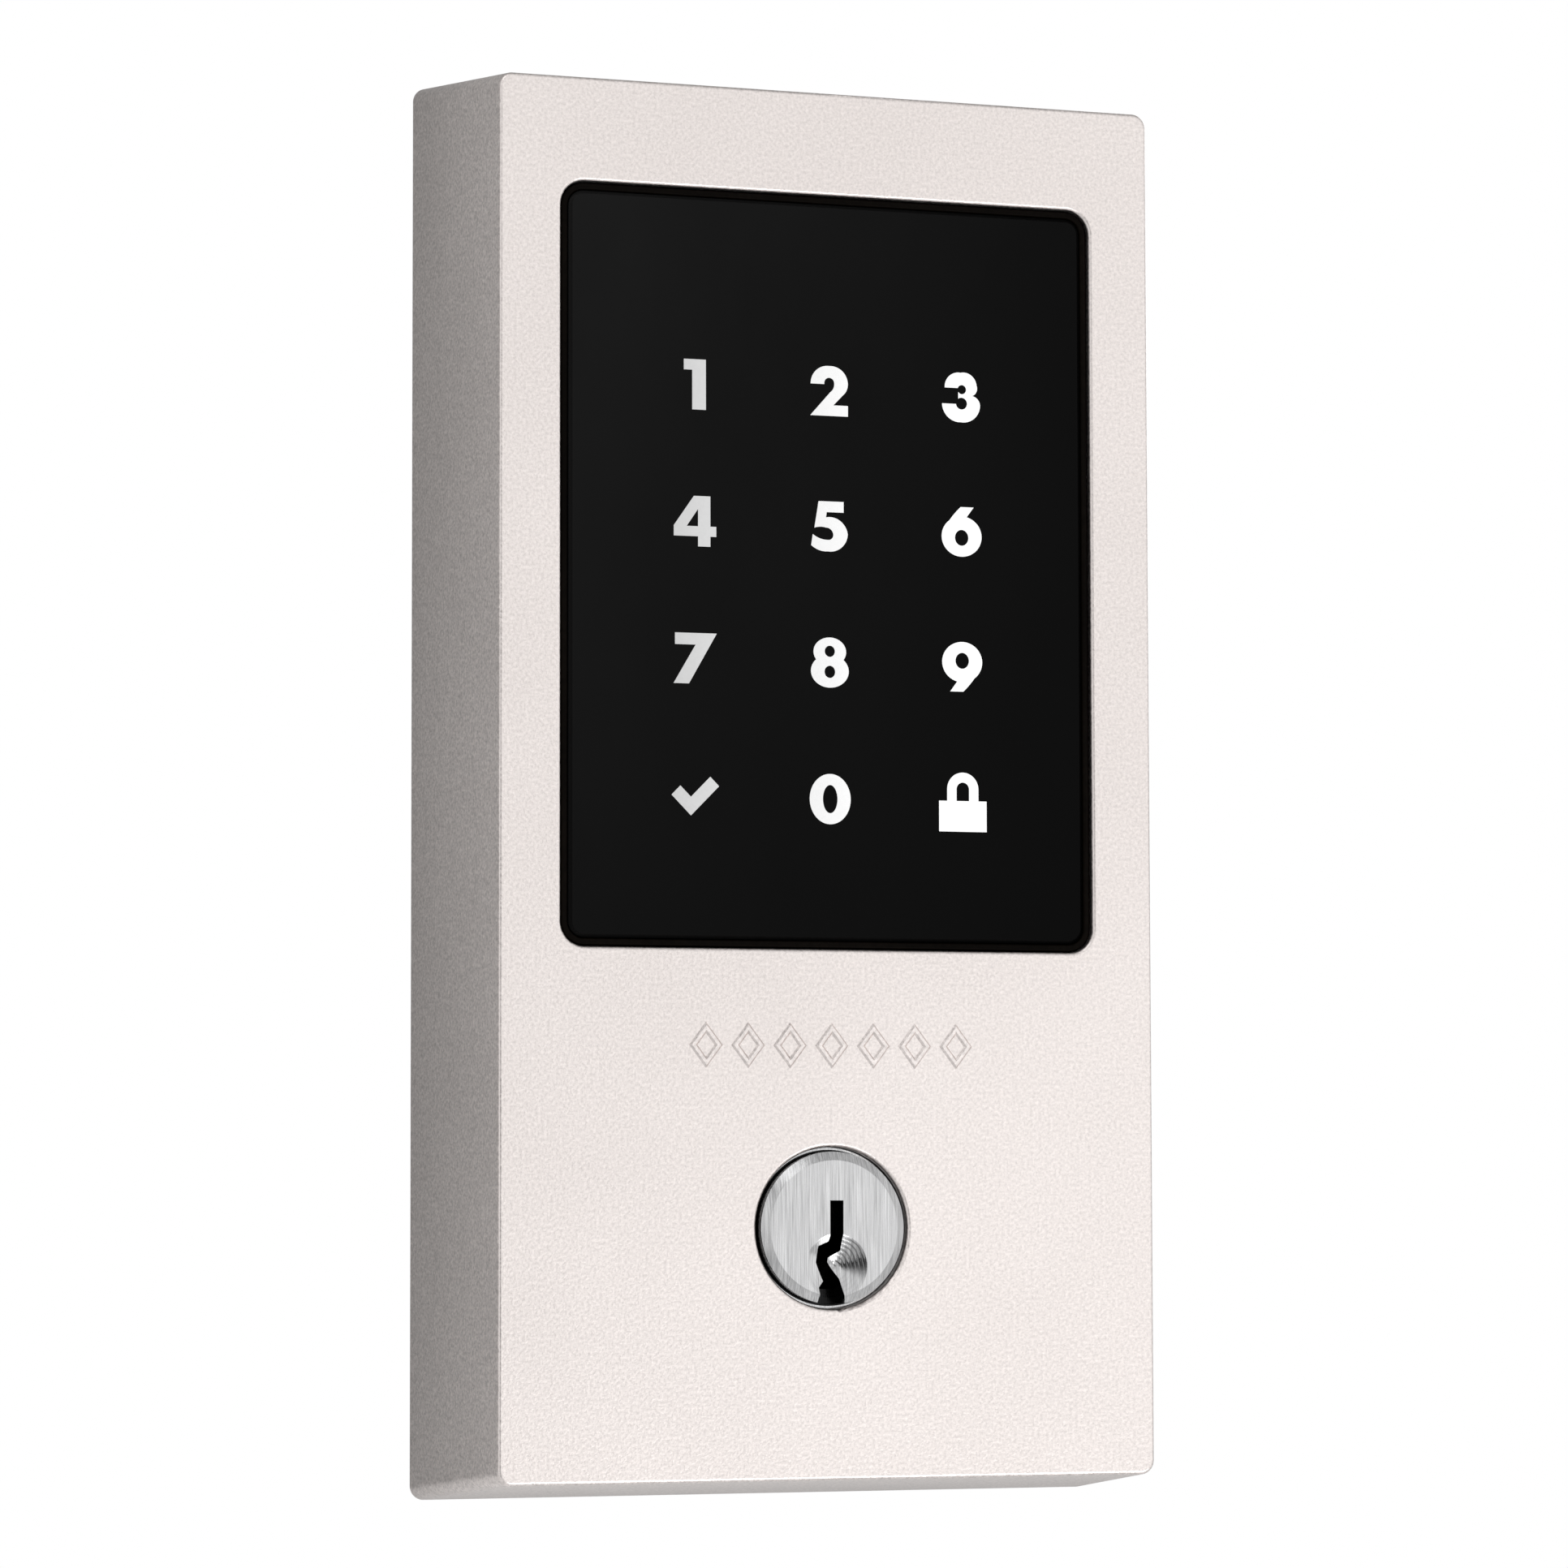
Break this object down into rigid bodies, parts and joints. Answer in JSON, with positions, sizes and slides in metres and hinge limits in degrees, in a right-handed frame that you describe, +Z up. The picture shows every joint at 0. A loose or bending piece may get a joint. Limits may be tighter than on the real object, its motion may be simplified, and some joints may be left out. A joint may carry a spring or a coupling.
{
  "type": "keypad deadbolt exterior unit",
  "caption": "Rectangular satin metal keypad lock for a door's outside, with a black touch keypad, a key cylinder below it and a torque blade behind.",
  "frame": {"origin": "where the lock cylinder's axis crosses the plane of the door's outer face", "axes": "+Z up along the unit's long side, +Y into the door along the cylinder's axis, +X to the right as seen by someone facing the lock"},
  "size_m": [0.0778, 0.0886, 0.1508],
  "materials": {
    "satin_nickel": "fine bead-blasted satin nickel plate on die-cast zinc",
    "nickel_bright": "brushed nickel-plated brass, brighter at the edges",
    "brass": "turned brass",
    "steel": "zinc-plated sheet steel",
    "dark_steel": "oiled spring steel",
    "screw_steel": "plated machine screws",
    "glass_black": "back-painted black touch glass, glossy",
    "ink_white": "lit white printed symbols",
    "black_plastic": "moulded black plastic, fine texture",
    "gasket_rubber": "matt black rubber",
    "foam": "closed-cell foam",
    "tape": "double-sided adhesive film",
    "diffuser": "milky moulded diffuser",
    "board_green": "green solder mask over fibreglass",
    "chip_black": "moulded chip package",
    "can_metal": "tinned steel shield",
    "led_white": "white surface-mount lamps",
    "socket_white": "ivory connector plastic",
    "contact_gold": "gilt contacts",
    "sleeve_black": "shrink sleeve on capacitors"
  },
  "bodies": {
    "lock_body": {"front_housing": "satin_nickel", "keypad_seal": "foam", "keypad_carrier": "black_plastic", "touch_glass": "glass_black", "key_symbols": "ink_white", "lens_tape": "tape", "light_guide": "diffuser", "keypad_board": "board_green", "backlight_leds": "led_white", "touch_controller": "chip_black", "processor_module": "can_metal", "buzzer": "chip_black", "harness_socket": "socket_white", "socket_pins": "contact_gold", "capacitors": "sleeve_black", "board_screws": "screw_steel", "keypad_rear_cover": "black_plastic", "cover_screws": "screw_steel", "cylinder_body": "nickel_bright", "spring_strip": "brass", "cylinder_yoke": "steel", "yoke_screws": "screw_steel", "back_plate": "steel", "plate_screws": "screw_steel", "door_gasket": "gasket_rubber", "bore_ring": "black_plastic", "mounting_post_left": "steel", "mounting_post_right": "steel", "pin_spring_1": "dark_steel", "pin_spring_2": "dark_steel", "pin_spring_3": "dark_steel", "pin_spring_4": "dark_steel", "pin_spring_5": "dark_steel"},
    "plug": {"cylinder_plug": "nickel_bright", "plug_clip": "dark_steel", "driver_disc": "brass"},
    "blade": {"torque_blade": "steel"},
    "key_pin_1": {"key_pin_1": "brass"},
    "driver_pin_1": {"driver_pin_1": "brass"},
    "key_pin_2": {"key_pin_2": "brass"},
    "driver_pin_2": {"driver_pin_2": "brass"},
    "key_pin_3": {"key_pin_3": "brass"},
    "driver_pin_3": {"driver_pin_3": "brass"},
    "key_pin_4": {"key_pin_4": "brass"},
    "driver_pin_4": {"driver_pin_4": "brass"},
    "key_pin_5": {"key_pin_5": "brass"},
    "driver_pin_5": {"driver_pin_5": "brass"}
  },
  "joints": [
    {"name": "plug_turn", "type": "hinge", "parent": "lock_body", "child": "plug", "pos_m": [0, 0, 0], "axis": [0, 1, 0], "range_deg": [-90, 90]},
    {"name": "blade_free_play", "type": "hinge", "parent": "plug", "child": "blade", "pos_m": [0, 0, 0], "axis": [0, 1, 0], "range_deg": [0, 90]},
    {"name": "key_pin_1_slide", "type": "slide", "parent": "plug", "child": "key_pin_1", "axis": [0, 0, 1], "range_m": [-0.0028, 0]},
    {"name": "driver_pin_1_slide", "type": "slide", "parent": "lock_body", "child": "driver_pin_1", "axis": [0, 0, 1], "range_m": [0, 0.0015], "stiffness_N_per_m": 150, "springref_m": -0.002, "deforming": ["pin_spring_1"]},
    {"name": "key_pin_2_slide", "type": "slide", "parent": "plug", "child": "key_pin_2", "axis": [0, 0, 1], "range_m": [-0.0016, 0]},
    {"name": "driver_pin_2_slide", "type": "slide", "parent": "lock_body", "child": "driver_pin_2", "axis": [0, 0, 1], "range_m": [0, 0.0015], "stiffness_N_per_m": 150, "springref_m": -0.002, "deforming": ["pin_spring_2"]},
    {"name": "key_pin_3_slide", "type": "slide", "parent": "plug", "child": "key_pin_3", "axis": [0, 0, 1], "range_m": [-0.0024, 0]},
    {"name": "driver_pin_3_slide", "type": "slide", "parent": "lock_body", "child": "driver_pin_3", "axis": [0, 0, 1], "range_m": [0, 0.0015], "stiffness_N_per_m": 150, "springref_m": -0.002, "deforming": ["pin_spring_3"]},
    {"name": "key_pin_4_slide", "type": "slide", "parent": "plug", "child": "key_pin_4", "axis": [0, 0, 1], "range_m": [-0.0012, 0]},
    {"name": "driver_pin_4_slide", "type": "slide", "parent": "lock_body", "child": "driver_pin_4", "axis": [0, 0, 1], "range_m": [0, 0.0015], "stiffness_N_per_m": 150, "springref_m": -0.002, "deforming": ["pin_spring_4"]},
    {"name": "key_pin_5_slide", "type": "slide", "parent": "plug", "child": "key_pin_5", "axis": [0, 0, 1], "range_m": [-0.002, 0]},
    {"name": "driver_pin_5_slide", "type": "slide", "parent": "lock_body", "child": "driver_pin_5", "axis": [0, 0, 1], "range_m": [0, 0.0015], "stiffness_N_per_m": 150, "springref_m": -0.002, "deforming": ["pin_spring_5"]}
  ]
}
